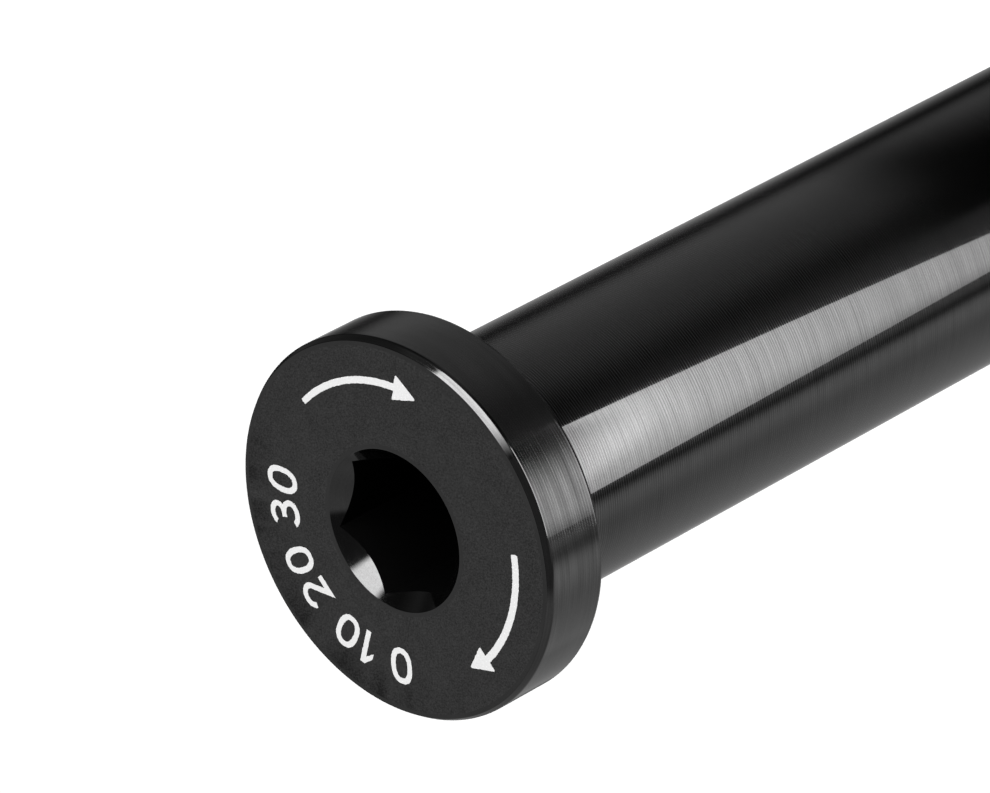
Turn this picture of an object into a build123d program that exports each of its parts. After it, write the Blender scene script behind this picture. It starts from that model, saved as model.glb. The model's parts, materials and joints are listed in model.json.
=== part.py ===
from build123d import *
import math
import os

# A front thru axle for a bicycle: the bolt that goes through one fork end and the hub and screws
# into the other fork end. It is turned from one bar of aluminium and bored hollow.
# Millimetres. +Z runs from the threaded tip up to the head, and the origin is the middle of the
# tip's face, where the axle stands on end. The socket's corners lie on +X and -X.

# Shank, the plain stretch that the hub runs on
shank_diameter = 12.0
shank_length = 104.0

# Threaded end, a metric fine thread drawn plain at its crest: M12 with 1.5 mm between turns
thread_crest_diameter = 11.9
thread_length = 14.0
thread_lead_depth = 0.9

# Groove between thread and shank, where the threading tool runs out
relief_depth = 1.0
relief_width = 2.0
relief_corner_radius = 0.5

# Low round head with a flat face
head_diameter = 17.4
head_height = 3.4
face_bevel_width = 0.17
face_bevel_height = 0.28
rear_edge_break = 0.06

# Hexagon socket for a 6 mm key, with a countersunk mouth
socket_across_flats = 6.0
socket_depth = 8.0
mouth_diameter = 7.4
mouth_angle = 90.0

# Bore: a small pilot hole behind the socket, and a wider hole drilled up from the tip
pilot_diameter = 5.5
pilot_length = 3.0
bore_diameter = 7.2
drill_point_angle = 118.0
bore_mouth_break = 0.3

# Places along the axle, counted up from the tip
relief_bottom = thread_length
relief_top = relief_bottom + relief_width
head_underside = relief_top + shank_length
face_height = head_underside + head_height
socket_floor = face_height - socket_depth
pilot_bottom = socket_floor - pilot_length

# Radii across the axle
shank_radius = shank_diameter / 2
thread_radius = thread_crest_diameter / 2
relief_radius = thread_radius - relief_depth
head_radius = head_diameter / 2
mouth_radius = mouth_diameter / 2
pilot_radius = pilot_diameter / 2
bore_radius = bore_diameter / 2

# Heights of the two cones: the drill's point, and the countersink taken down to a point
drill_point_height = (bore_radius - pilot_radius) / math.tan(math.radians(drill_point_angle / 2))
mouth_cone_height = mouth_radius / math.tan(math.radians(mouth_angle / 2))

os.makedirs("parts", exist_ok=True)

with BuildPart() as thru_axle:
    # Half of the section, turned about the axle's own line
    with BuildSketch(Plane.XZ):
        with BuildLine():
            # Outside, from the tip's face up to the head's face
            Polyline(
                (thread_radius - thread_lead_depth, 0),
                (thread_radius, thread_lead_depth),
                (thread_radius, relief_bottom),
                (relief_radius, relief_bottom),
                (relief_radius, relief_top),
                (shank_radius, relief_top),
                (shank_radius, head_underside),
                (head_radius - rear_edge_break, head_underside),
                (head_radius, head_underside + rear_edge_break),
                (head_radius, face_height - face_bevel_height),
                (head_radius - face_bevel_width, face_height),
                (pilot_radius, face_height),
            )
            # Inside, down through the pilot hole and the bore and back to the tip's face
            Polyline(
                (pilot_radius, face_height),
                (pilot_radius, pilot_bottom),
                (bore_radius, pilot_bottom - drill_point_height),
                (bore_radius, bore_mouth_break),
                (bore_radius + bore_mouth_break, 0),
                (thread_radius - thread_lead_depth, 0),
            )
        make_face()
    revolve(axis=Axis.Z)

    # The groove's floor runs into its two walls in small rounds, which leave part of each wall flat
    groove_floor = (
        thru_axle.edges()
        .filter_by(GeomType.CIRCLE)
        .filter_by(lambda edge: abs(edge.radius - relief_radius) < 1e-6)
    )
    fillet(groove_floor, radius=min(relief_corner_radius, 0.8 * relief_depth, 0.4 * relief_width))

    # Hexagon broached down from the face
    with BuildSketch(Plane.XY.offset(face_height)):
        RegularPolygon(radius=socket_across_flats / 2, side_count=6, major_radius=False)
    extrude(amount=-socket_depth, mode=Mode.SUBTRACT)

    # Countersink, which leaves its scalloped edge where it meets the six flats
    with BuildSketch(Plane.XZ):
        with BuildLine():
            Polyline(
                (0, face_height),
                (mouth_radius, face_height),
                (0, face_height - mouth_cone_height),
                close=True,
            )
        make_face()
    revolve(axis=Axis.Z, mode=Mode.SUBTRACT)

thru_axle.part.label = "thru_axle"
export_step(thru_axle.part, "parts/thru_axle.step")

box = thru_axle.part.bounding_box()
print("thru_axle", "volume", round(thru_axle.part.volume, 2), "mm3")
print("box", tuple(round(v, 3) for v in box.min), tuple(round(v, 3) for v in box.max))
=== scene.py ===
import json
import logging
import math
from dataclasses import dataclass, field
from enum import Enum

import bpy
import numpy as np
from mathutils import Matrix, Vector
from mathutils.geometry import tessellate_polygon

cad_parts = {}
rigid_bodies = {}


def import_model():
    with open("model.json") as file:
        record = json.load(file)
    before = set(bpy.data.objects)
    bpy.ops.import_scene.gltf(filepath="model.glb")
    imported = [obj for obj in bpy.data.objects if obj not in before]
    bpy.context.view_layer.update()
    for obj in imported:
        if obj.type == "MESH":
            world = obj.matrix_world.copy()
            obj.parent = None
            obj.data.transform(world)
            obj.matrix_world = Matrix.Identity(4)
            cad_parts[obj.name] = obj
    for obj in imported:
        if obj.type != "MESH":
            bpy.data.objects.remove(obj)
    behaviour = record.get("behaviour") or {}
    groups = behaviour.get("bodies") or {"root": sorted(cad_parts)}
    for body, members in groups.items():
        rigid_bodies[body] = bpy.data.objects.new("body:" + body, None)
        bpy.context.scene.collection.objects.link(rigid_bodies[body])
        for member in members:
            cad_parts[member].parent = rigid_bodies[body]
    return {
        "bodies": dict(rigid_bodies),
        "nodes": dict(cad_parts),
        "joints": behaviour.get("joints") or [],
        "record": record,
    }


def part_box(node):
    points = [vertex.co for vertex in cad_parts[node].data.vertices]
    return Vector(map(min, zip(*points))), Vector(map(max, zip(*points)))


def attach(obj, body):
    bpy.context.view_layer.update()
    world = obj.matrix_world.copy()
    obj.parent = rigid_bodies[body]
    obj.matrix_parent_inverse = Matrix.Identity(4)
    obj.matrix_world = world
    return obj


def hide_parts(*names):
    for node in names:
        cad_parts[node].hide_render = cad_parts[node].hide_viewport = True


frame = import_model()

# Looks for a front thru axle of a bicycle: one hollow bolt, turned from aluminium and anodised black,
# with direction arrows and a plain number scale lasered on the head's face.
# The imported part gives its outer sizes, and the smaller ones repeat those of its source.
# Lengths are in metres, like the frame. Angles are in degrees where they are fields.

log = logging.getLogger("thru_axle")

MM = 0.001
NODE = "thru_axle"
TURN = 2 * math.pi
LEAST_GLOSS = 0.05


@dataclass(frozen=True)
class AxleSizes:
    """The axle's main sizes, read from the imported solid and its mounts, in metres."""

    face_z: float
    head_radius: float
    underside_z: float
    shank_radius: float
    shank_bottom_z: float
    thread_radius: float
    thread_top_z: float

    @classmethod
    def from_frame(cls, loaded: dict) -> "AxleSizes":
        """Reads the sizes from the loaded frame.


        Returns:
            The sizes of the axle.
        """
        low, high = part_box(NODE)
        mounts = {mount["name"]: mount for mount in loaded["record"]["mounts"]}
        shank = mounts["shank"]
        shank_half = shank["dims"]["length_mm"] * MM / 2
        thread = mounts["threaded_end"]
        thread_half = thread["dims"]["length_mm"] * MM / 2
        return cls(
            face_z=high.z,
            head_radius=high.x,
            underside_z=mounts["head_underside"]["pos_m"][2],
            shank_radius=shank["dims"]["r_mm"] * MM,
            shank_bottom_z=shank["pos_m"][2] - shank_half,
            thread_radius=thread["dims"]["r_mm"] * MM,
            thread_top_z=thread["pos_m"][2] + thread_half,
        )


def smooth_step(share: np.ndarray) -> np.ndarray:
    """Smooth step from 0 to 1 while the share goes from 0 to 1, and level beyond."""
    share = np.clip(share, 0, 1)
    return share * share * (3 - 2 * share)


def rounded_profile(
    corners: np.ndarray, radii: np.ndarray, steps: int = 5, hold: float = 0.03 * MM
) -> np.ndarray:
    """Rounds the corners of a profile and holds each flat stretch flat.

    At a corner the arc's centre lies on the bisector, one radius from both sides, and the arc runs
    between the two points where it touches them. One more point on each side, a little further
    along the straight stretch, keeps the smooth shading of the round off the flat.

    Args:
        corners: (n, 2) points of radius and height, in order along the profile.
        radii: n rounding radii. The first and last are not used, and 0 leaves a corner sharp.
        steps: spans in each arc.
        hold: distance from an arc to the point that holds the flat beside it.

    Returns:
        (m, 2) points of the rounded profile.
    """
    parts = [corners[:1]]
    for before, corner, after, radius in zip(corners, corners[1:], corners[2:], radii[1:]):
        back, on = before - corner, after - corner
        back_length, on_length = np.linalg.norm(back), np.linalg.norm(on)
        back, on = back / back_length, on / on_length
        half = math.acos(float(np.clip(back @ on, -1, 1))) / 2
        if radius <= 0:
            parts.append(corner[None])
            continue
        reach = radius / math.tan(half)
        centre = corner + (back + on) / np.linalg.norm(back + on) * radius / math.sin(half)
        start, end = corner + back * reach, corner + on * reach
        swing = (math.pi - 2 * half) * np.linspace(0, 1, steps + 1)[:, None]
        arm = start - centre
        side = np.array([-arm[1], arm[0]])
        side *= np.sign(side @ (end - start))
        arc = centre + arm * np.cos(swing) + side * np.sin(swing)
        holds = [arc]
        if reach + 2 * hold < back_length:
            holds.insert(0, (start + back * hold)[None])
        if reach + 2 * hold < on_length:
            holds.append((end + on * hold)[None])
        parts.extend(holds)
    parts.append(corners[-1:])
    return np.concatenate(parts)


class Finish(Enum):
    """The finishes of the axle's body, in the order of its material slots."""

    SHANK = 0
    RIM = 1
    BEVEL = 2
    FACE = 3
    COUNTERSINK = 4
    SOCKET = 5
    THREAD = 6
    BORE = 7


def linked_mesh(
    name: str, points: np.ndarray, faces: np.ndarray, materials: list[bpy.types.Material]
) -> bpy.types.Object:
    """Makes a mesh object at the origin and links it to the scene.

    Args:
        name: name of the mesh and of the object.
        points: (n, 3) points.
        faces: (m, 3) or (m, 4) corners of its faces.
        materials: its materials, in slot order.

    Returns:
        The new object.
    """
    mesh = bpy.data.meshes.new(name)
    mesh.from_pydata(points, [], faces)
    for material in materials:
        mesh.materials.append(material)
    mesh.update()
    made = bpy.data.objects.new(name, mesh)
    bpy.context.scene.collection.objects.link(made)
    return made


@dataclass
class Shell:
    """A closed surface gathered from grids of points, whose shared borders are welded."""

    name: str
    weld: float = 1e-5 * MM
    points: list[np.ndarray] = field(default_factory=list)
    triangles: list[np.ndarray] = field(default_factory=list)
    slots: list[np.ndarray] = field(default_factory=list)
    count: int = 0

    def add_grid(self, grid: np.ndarray, slot: int = 0) -> None:
        """Adds a grid of points as two triangles for each cell.

        With columns that run anticlockwise and rows that run up the outside, the faces point out.

        Args:
            grid: (rows, columns, 3) points.
            slot: material slot of the grid's faces.
        """
        rows, columns = grid.shape[:2]
        index = np.arange(rows * columns).reshape(rows, columns) + self.count
        low, low_next = index[:-1, :-1].ravel(), index[:-1, 1:].ravel()
        high, high_next = index[1:, :-1].ravel(), index[1:, 1:].ravel()
        first, second = (low, low_next, high_next), (low, high_next, high)
        faces = np.concatenate([np.stack(first, 1), np.stack(second, 1)])
        self.points.append(grid.reshape(-1, 3))
        self.triangles.append(faces)
        self.slots.append(np.full(len(faces), slot))
        self.count += rows * columns

    def build(self, materials: list[bpy.types.Material], sharp: float = 32.0) -> bpy.types.Object:
        """Welds the grids and makes the Blender object.

        Points that share a place, to the weld distance, become one, and triangles that lose a side
        by it are dropped.

        Args:
            materials: the object's materials, in slot order.
            sharp: edges that turn by more degrees than this are shaded sharp.

        Returns:
            The new object, linked to the scene.
        """
        points = np.concatenate(self.points)
        triangles = np.concatenate(self.triangles)
        slots = np.concatenate(self.slots)
        keys = np.round(points / self.weld).astype(np.int64)
        _, first, joined = np.unique(keys, axis=0, return_index=True, return_inverse=True)
        triangles = joined.reshape(-1)[triangles]
        whole = (
            (triangles[:, 0] != triangles[:, 1])
            & (triangles[:, 1] != triangles[:, 2])
            & (triangles[:, 2] != triangles[:, 0])
        )
        triangles, slots = triangles[whole], slots[whole]
        piece = linked_mesh(self.name, points[first], triangles, materials)
        piece.data.polygons.foreach_set("material_index", slots.astype(np.int32))
        piece.data.polygons.foreach_set("use_smooth", np.ones(len(triangles), bool))
        piece.data.set_sharp_from_angle(angle=math.radians(sharp))
        piece.data.update()
        return piece


@dataclass
class TurnedAxle:
    """The whole axle body: head, shank, thread and bore, one closed surface."""

    sizes: AxleSizes
    columns: int = 240

    face_bevel_width: float = 0.17 * MM
    face_bevel_height: float = 0.28 * MM
    bevel_round: float = 0.2 * MM
    bevel_margin: float = 0.12 * MM
    rear_bevel_width: float = 0.07 * MM
    rear_bevel_height: float = 0.16 * MM
    rear_bevel_round: float = 0.06 * MM
    edge_round: float = 0.04 * MM
    edge_margin: float = 0.2 * MM
    mark_depth: float = 0.005 * MM
    face_rings: int = 12

    socket_across_flats: float = 6.0 * MM
    socket_depth: float = 8.0 * MM
    mouth_radius: float = 3.70 * MM
    corner_margin: float = 0.04 * MM
    cone_rows: int = 4
    wall_rows: int = 9

    shoulder_height: float = 1.0 * MM
    shank_rows: int = 40
    relief_depth: float = 1.0 * MM
    relief_corner: float = 0.5 * MM
    thread_pitch: float = 1.5 * MM
    thread_root_depth: float = 0.86 * MM
    thread_lead: float = 0.9 * MM
    crest_share: float = 0.125
    flank_share: float = 0.625
    flank_ease: float = 0.3
    rows_per_pitch: int = 16

    pilot_radius: float = 2.75 * MM
    pilot_length: float = 3.0 * MM
    bore_radius: float = 3.6 * MM
    drill_point_angle: float = 118.0
    bore_mouth_break: float = 0.3 * MM

    def __post_init__(self) -> None:
        """Sets out the angles of the columns, with the seam's angle at both ends."""
        self.angles = np.linspace(0, TURN, self.columns + 1)
        self.cosines = np.cos(self.angles)
        self.sines = np.sin(self.angles)
        self.cosines[-1], self.sines[-1] = self.cosines[0], self.sines[0]
        self.face_z = self.sizes.face_z - self.mark_depth

    def ring_grid(self, radii: np.ndarray, heights: np.ndarray) -> np.ndarray:
        """Points at x = r cos a, y = r sin a, z = h for each row and each column angle a.

        Args:
            radii: (rows, columns + 1) or (rows, 1) radii.
            heights: (rows, columns + 1) or (rows, 1) heights.

        Returns:
            (rows, columns + 1, 3) points.
        """
        radii, heights = np.broadcast_arrays(radii, heights)
        x, y = radii * self.cosines, radii * self.sines
        return np.stack(np.broadcast_arrays(x, y, heights), axis=-1)

    def turned(self, profile: np.ndarray) -> np.ndarray:
        """Turns a profile of radius and height about the axle's line.

        Args:
            profile: (rows, 2) points.

        Returns:
            (rows, columns + 1, 3) points.
        """
        return self.ring_grid(profile[:, :1], profile[:, 1:])

    def hexagon_radius(self) -> np.ndarray:
        """Distance from the middle to the socket's wall in each column.

        A flat's distance is half the size across flats, over the cosine of the angle between the
        column and the middle of that flat. The corners lie on +X and every 60 degrees from it.

        Returns:
            (columns + 1) radii.
        """
        sixth = TURN / 6
        from_flat = np.mod(self.angles, sixth) - sixth / 2
        return self.socket_across_flats / 2 / np.cos(from_flat)

    def thread_radius_at(self, heights: np.ndarray) -> np.ndarray:
        """Radius of the threaded end at each height and column.

        The phase is the height in pitches, less the column's share of a turn, so a crest climbs one
        pitch in one turn to the right. Depth rises along the flank with the distance from the
        crest's middle, is level on crest and root, and eases into both by a share of a smooth step.
        The lead is a cone of 45 degrees that cuts the turns down to the tip.

        Args:
            heights: (rows, columns + 1) heights.

        Returns:
            (rows, columns + 1) radii.
        """
        phase = heights / self.thread_pitch - self.angles / TURN
        from_crest = np.abs(np.mod(phase, 1.0) - 0.5) * 2
        flank = np.clip((1 - from_crest - self.crest_share) / self.flank_share, 0, 1)
        eased = (1 - self.flank_ease) * flank + self.flank_ease * smooth_step(flank)
        turns = self.sizes.thread_radius - self.thread_root_depth * eased
        lead = self.sizes.thread_radius - self.thread_lead + np.maximum(heights, 0)
        return np.minimum(turns, lead)

    def thread_grid(self) -> np.ndarray:
        """The thread's surface, whose rows climb with the helix and are cut level at both ends.

        Row j has height (j / rows per pitch + column angle / one turn) times the pitch, clipped to
        the threaded length, so its last column meets the row one pitch above at the seam.

        Returns:
            (rows, columns + 1, 3) points.
        """
        top = self.sizes.thread_top_z
        last = math.ceil(top / self.thread_pitch * self.rows_per_pitch)
        row = np.arange(-self.rows_per_pitch, last + 1)[:, None] / self.rows_per_pitch
        heights = np.clip((row + self.angles / TURN) * self.thread_pitch, 0, top)
        return self.ring_grid(self.thread_radius_at(heights), heights)

    def thread_wall(self, thread: np.ndarray, groove_radius: float) -> np.ndarray:
        """The level wall from the thread's last row in to the groove.

        Args:
            thread: the thread's points.
            groove_radius: where the groove's round starts.

        Returns:
            (2, columns + 1, 3) points.
        """
        edge = np.hypot(thread[-1, :, 0], thread[-1, :, 1])
        radii = np.stack([edge, np.full_like(edge, groove_radius)])
        return self.ring_grid(radii, np.full_like(radii, self.sizes.thread_top_z))

    def outside_profiles(self) -> list[tuple[Finish, np.ndarray]]:
        """The outside from the groove up to the countersink, in stretches of one finish.

        Returns:
            (finish, profile) pairs, each of which starts where the last one ends.
        """
        sizes = self.sizes
        relief = sizes.thread_radius - self.relief_depth
        shank_start = sizes.shank_bottom_z + self.shoulder_height
        shoulder = rounded_profile(
            np.array(
                [
                    (relief + self.relief_corner, sizes.thread_top_z),
                    (relief, sizes.thread_top_z),
                    (relief, sizes.shank_bottom_z),
                    (sizes.shank_radius, sizes.shank_bottom_z),
                    (sizes.shank_radius, shank_start),
                ]
            ),
            np.array([0, self.relief_corner, self.relief_corner, self.edge_round, 0]),
        )
        heights = np.linspace(shank_start, sizes.underside_z, self.shank_rows)
        shank = np.stack([np.full_like(heights, sizes.shank_radius), heights], axis=1)
        bevel_foot = sizes.face_z - self.face_bevel_height
        rim_top = bevel_foot - self.bevel_margin
        rim = rounded_profile(
            np.array(
                [
                    (sizes.shank_radius, sizes.underside_z),
                    (sizes.head_radius - self.rear_bevel_width, sizes.underside_z),
                    (sizes.head_radius, sizes.underside_z + self.rear_bevel_height),
                    (sizes.head_radius, rim_top),
                ]
            ),
            np.array([0, self.edge_round / 2, self.rear_bevel_round, 0]),
        )
        face_radius = sizes.head_radius - self.face_bevel_width
        bevel = rounded_profile(
            np.array(
                [
                    (sizes.head_radius, rim_top),
                    (sizes.head_radius, bevel_foot),
                    (face_radius, self.face_z),
                    (face_radius - self.edge_margin, self.face_z),
                ]
            ),
            np.array([0, self.bevel_round, self.edge_round, 0]),
        )
        cone_end = self.cone_end_radius()
        mouth = rounded_profile(
            np.array(
                [
                    (self.mouth_radius + self.edge_margin, self.face_z),
                    (self.mouth_radius, self.face_z),
                    (cone_end, self.face_z - self.mouth_radius + cone_end),
                ]
            ),
            np.array([0, self.edge_round, 0]),
        )
        radii = np.linspace(bevel[-1, 0], mouth[0, 0], self.face_rings)
        face = np.stack([radii, np.full_like(radii, self.face_z)], axis=1)
        return [
            (Finish.SHANK, shoulder),
            (Finish.SHANK, shank),
            (Finish.RIM, rim),
            (Finish.BEVEL, bevel),
            (Finish.FACE, face),
            (Finish.COUNTERSINK, mouth),
        ]

    def cone_end_radius(self) -> float:
        """Radius on the countersink, just outside the hexagon's corners, where the profile stops."""
        return self.socket_across_flats / math.sqrt(3) + self.corner_margin

    def socket_grids(self) -> tuple[np.ndarray, np.ndarray]:
        """Countersink, and hexagon walls and floor, whose radius changes from column to column.

        The countersink falls at 45 degrees from the profile's end to the hexagon, so it goes
        deepest at the middle of each flat, which gives the scalloped edge. Below it the walls go
        straight down to a level floor round the pilot hole.

        Returns:
            The countersink's points and the socket's points, each (rows, columns + 1, 3).
        """
        wall = self.hexagon_radius()
        start = np.full_like(wall, self.cone_end_radius())
        floor = self.sizes.face_z - self.socket_depth
        cone = np.linspace(0, 1, self.cone_rows)[:, None] * (wall - start) + start
        cone_z = self.face_z - self.mouth_radius + cone
        drop = np.linspace(0, 1, self.wall_rows)[:, None]
        wall_z = cone_z[-1] + drop * (floor - cone_z[-1])
        pilot = np.full_like(wall, self.pilot_radius)
        radii = np.concatenate([np.repeat(wall[None], self.wall_rows, 0), pilot[None]])
        heights = np.concatenate([wall_z, np.full_like(wall, floor)[None]])
        return self.ring_grid(cone, cone_z), self.ring_grid(radii, heights)

    def inside_profile(self) -> np.ndarray:
        """Pilot hole, drill point, bore and tip face, down to the thread's lead.

        Returns:
            (rows, 2) points.
        """
        floor = self.sizes.face_z - self.socket_depth
        pilot_end = floor - self.pilot_length
        slope = math.tan(math.radians(self.drill_point_angle / 2))
        point_height = (self.bore_radius - self.pilot_radius) / slope
        tip_radius = self.sizes.thread_radius - self.thread_lead
        return rounded_profile(
            np.array(
                [
                    (self.pilot_radius, floor),
                    (self.pilot_radius, pilot_end),
                    (self.bore_radius, pilot_end - point_height),
                    (self.bore_radius, self.bore_mouth_break),
                    (self.bore_radius + self.bore_mouth_break, 0),
                    (tip_radius, 0),
                ]
            ),
            np.array([0, 0, 0, self.edge_round, self.edge_round, 0]),
        )

    def build(self, materials: list[bpy.types.Material]) -> bpy.types.Object:
        """Makes the axle's body.

        Args:
            materials: one for each Finish, in its order.

        Returns:
            The body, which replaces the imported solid.
        """
        shell = Shell("axle_body")
        thread = self.thread_grid()
        shell.add_grid(thread, Finish.THREAD.value)
        profiles = self.outside_profiles()
        groove_radius = profiles[0][1][0, 0]
        shell.add_grid(self.thread_wall(thread, groove_radius), Finish.THREAD.value)
        for finish, profile in profiles:
            shell.add_grid(self.turned(profile), finish.value)
        countersink, socket = self.socket_grids()
        shell.add_grid(countersink, Finish.COUNTERSINK.value)
        shell.add_grid(socket, Finish.SOCKET.value)
        shell.add_grid(self.turned(self.inside_profile()), Finish.BORE.value)
        return shell.build(materials)


@dataclass(frozen=True)
class Arrow:
    """One curved arrow: its places on the face, in degrees and in metres from the middle.

    The tail, the head's base and its tip have an angle and a radius each, and the shaft has a width
    at both ends. The slant is how far the base's outer corner leads its middle.
    """

    name: str
    tail: float
    base: float
    tip: float
    slant: float
    tail_radius: float
    base_radius: float
    tip_radius: float
    tail_width: float
    base_width: float


@dataclass
class FaceMarks:
    """Lasered marks on the head's face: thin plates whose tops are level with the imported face.

    Angles are in degrees, anticlockwise from +X as seen from outside.
    """

    sizes: AxleSizes
    thickness: float = 0.01 * MM
    point_spacing: float = 0.04 * MM
    edge_wander: float = 0.006 * MM
    wander_run: int = 3
    least_length: float = 1e-12
    seed: int = 11

    head_width: float = 1.24 * MM
    head_corner: float = 0.06 * MM
    tail_bulge: float = 0.35
    tail_reach: float = 60.0
    tail_points: int = 5
    shaft_points: int = 40

    glyph_height: float = 1.7 * MM
    glyph_width: float = 1.2 * MM
    one_width: float = 0.62 * MM
    stroke: float = 0.265 * MM
    oval_power: float = 0.86
    oval_points: int = 48
    arc_points: int = 25
    glyph_gap: float = 0.36 * MM
    group_gap: float = 0.98 * MM
    scale_radius: float = 6.37 * MM
    scale_middle: float = 208.0
    groups: tuple[str, ...] = ("0", "10", "20", "30")

    arrows: tuple[Arrow, ...] = (
        Arrow(
            "direction_arrow_upper",
            tail=121.0,
            base=72.0,
            tip=61.1,
            slant=1.0,
            tail_radius=6.72 * MM,
            base_radius=6.81 * MM,
            tip_radius=6.71 * MM,
            tail_width=0.285 * MM,
            base_width=0.345 * MM,
        ),
        Arrow(
            "direction_arrow_side",
            tail=-7.6,
            base=-56.6,
            tip=-67.1,
            slant=0.65,
            tail_radius=6.84 * MM,
            base_radius=6.76 * MM,
            tip_radius=6.59 * MM,
            tail_width=0.355 * MM,
            base_width=0.345 * MM,
        ),
    )

    def __post_init__(self) -> None:
        """Sets the seed of the marks' slightly uneven edges."""
        self.random = np.random.default_rng(self.seed)

    @staticmethod
    def signed_area(loop: np.ndarray) -> float:
        """Area inside a loop of points, positive where it runs anticlockwise."""
        x, y = loop.T
        return float(np.sum(x * np.roll(y, -1) - np.roll(x, -1) * y) / 2)

    def uneven(self, loop: np.ndarray) -> np.ndarray:
        """Spaces a loop's points evenly along its sides and lets its edge wander a little.

        Each side is cut into spans of about the point spacing. Every point then moves along its
        normal by the sum of a few neighbouring random numbers, over the root of how many they are.

        Args:
            loop: (n, 2) corners of a closed outline.

        Returns:
            (m, 2) points of the same outline.
        """
        ends = np.roll(loop, -1, axis=0)
        spans = np.maximum(np.ceil(np.linalg.norm(ends - loop, axis=1) / self.point_spacing), 1)
        shares = [np.arange(n) / n for n in spans]
        side = np.repeat(np.arange(len(loop)), spans.astype(int))
        share = np.concatenate(shares)[:, None]
        points = loop[side] + share * (ends - loop)[side]
        along = np.roll(points, -1, axis=0) - np.roll(points, 1, axis=0)
        normal = np.stack([along[:, 1], -along[:, 0]], axis=1)
        normal /= np.linalg.norm(normal, axis=1, keepdims=True) + self.least_length
        draws = self.random.standard_normal(len(points))
        wander = sum(np.roll(draws, shift) for shift in range(self.wander_run)) / math.sqrt(self.wander_run)
        return points + normal * (wander * self.edge_wander)[:, None]

    def ribbon(self, path: np.ndarray) -> np.ndarray:
        """Outline of a stroke of even width along a path, with mitred corners.

        The offset at a point lies along the mean of the normals of its two sides, and is the half
        width over the cosine of half the turn there.

        Args:
            path: (n, 2) points of the stroke's middle line.

        Returns:
            (2 n, 2) points, up one edge and back down the other.
        """
        steps = np.diff(path, axis=0)
        steps /= np.linalg.norm(steps, axis=1, keepdims=True)
        normals = np.stack([-steps[:, 1], steps[:, 0]], axis=1)
        before = np.concatenate([normals[:1], normals])
        after = np.concatenate([normals, normals[-1:]])
        mitre = before + after
        mitre /= np.sum(mitre * before, axis=1, keepdims=True)
        offset = mitre * self.stroke / 2
        return np.concatenate([path + offset, (path - offset)[::-1]])

    def arc(
        self, middle: tuple[float, float], reach: tuple[float, float], start: float, end: float
    ) -> np.ndarray:
        """Points of an ellipse's arc.

        Args:
            middle: middle of the ellipse.
            reach: its half width and half height.
            start: angle of the first point, in degrees.
            end: angle of the last point.

        Returns:
            (arc points, 2) points.
        """
        return middle + self.polar(np.linspace(start, end, self.arc_points), 1.0) * reach

    def zero(self, wide: float, high: float, half: float) -> list[np.ndarray]:
        """Outer and inner loop of a 0: a squarish oval, whose cosine and sine are taken to a power.

        Args:
            wide: half the width of the stroke's middle line.
            high: half its height.
            half: half the stroke's width.

        Returns:
            The two loops.
        """
        turn = np.linspace(0, TURN, self.oval_points, endpoint=False)
        unit = np.stack([np.cos(turn), np.sin(turn)], axis=1)
        unit = np.sign(unit) * np.abs(unit) ** self.oval_power
        return [unit * (wide + half, high + half), (unit * (wide - half, high - half))[::-1]]

    def one(self, high: float, half: float) -> list[np.ndarray]:
        """Loop of a 1: an upright stem with a flag that falls from its top to the left.

        Args:
            high: half the height of the stroke's middle line.
            half: half the stroke's width.

        Returns:
            The loop.
        """
        top, flag = high + half, self.one_width / 2
        left, right = flag - 2 * half, flag
        flag_top, flag_bottom, flag_root = top - 1.35 * flag, top - 2.3 * flag, top - 2.9 * half
        corners = [
            (left, -top),
            (right, -top),
            (right, top),
            (left + 0.1 * half, top),
            (-flag, flag_top),
            (-flag, flag_bottom),
            (left, flag_root),
        ]
        return [np.array(corners)]

    def two(self, wide: float, high: float) -> list[np.ndarray]:
        """Loop of a 2: a stroke round its bow, straight down to the foot's left end and along it.

        Args:
            wide: half the width of the stroke's middle line.
            high: half its height.

        Returns:
            The loop.
        """
        bow = self.arc((0, 0.44 * high), (wide, 0.56 * high), start=165, end=-38)
        foot = np.array([(-0.86 * wide, -high), (wide, -high)])
        return [self.ribbon(np.concatenate([bow, foot]))]

    def three(self, wide: float, high: float, half: float) -> list[np.ndarray]:
        """Loop of a 3: two bowls on one waist, drawn down the outside and back up the inside.

        The outsides of the bowls meet at the waist's height, and the insides end at the waist's
        short bar, half a stroke above and below its middle. The lower bowl is the wider one.

        Args:
            wide: half the width of the stroke's middle line.
            high: half its height.
            half: half the stroke's width.

        Returns:
            The loop.
        """
        waist, bar, shift = 0.08 * high, 0.35 * wide, 0.08 * wide
        up, down = (high - waist) / 2, (high + waist) / 2
        upper, lower = (-shift, waist + up), (-shift, waist - down)
        upper_wide, lower_wide = 0.94 * wide, 1.08 * wide
        upper_end, lower_end = 152, -154
        upper_meets = -math.degrees(math.asin(up / (up + half)))
        lower_meets = math.degrees(math.asin(down / (down + half)))
        outside = [
            self.arc(upper, (upper_wide + half, up + half), upper_end, upper_meets),
            self.arc(lower, (lower_wide + half, down + half), lower_meets, lower_end),
        ]
        inside = [
            self.arc(lower, (lower_wide - half, down - half), lower_end, 90),
            np.array([(-shift - bar, waist - half), (-shift - bar, waist + half)]),
            self.arc(upper, (upper_wide - half, up - half), -90, upper_end),
        ]
        return [np.concatenate(outside + inside)]

    def glyph(self, digit: str) -> list[np.ndarray]:
        """Outlines of one digit about its own middle, from arcs and straight strokes.

        Args:
            digit: 0, 1, 2 or 3.

        Returns:
            Its loops, the outer one first.
        """
        half = self.stroke / 2
        high, wide = self.glyph_height / 2 - half, self.glyph_width / 2 - half
        if digit == "0":
            return self.zero(wide, high, half)
        if digit == "1":
            return self.one(high, half)
        if digit == "2":
            return self.two(wide, high)
        return self.three(wide, high, half)

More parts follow.
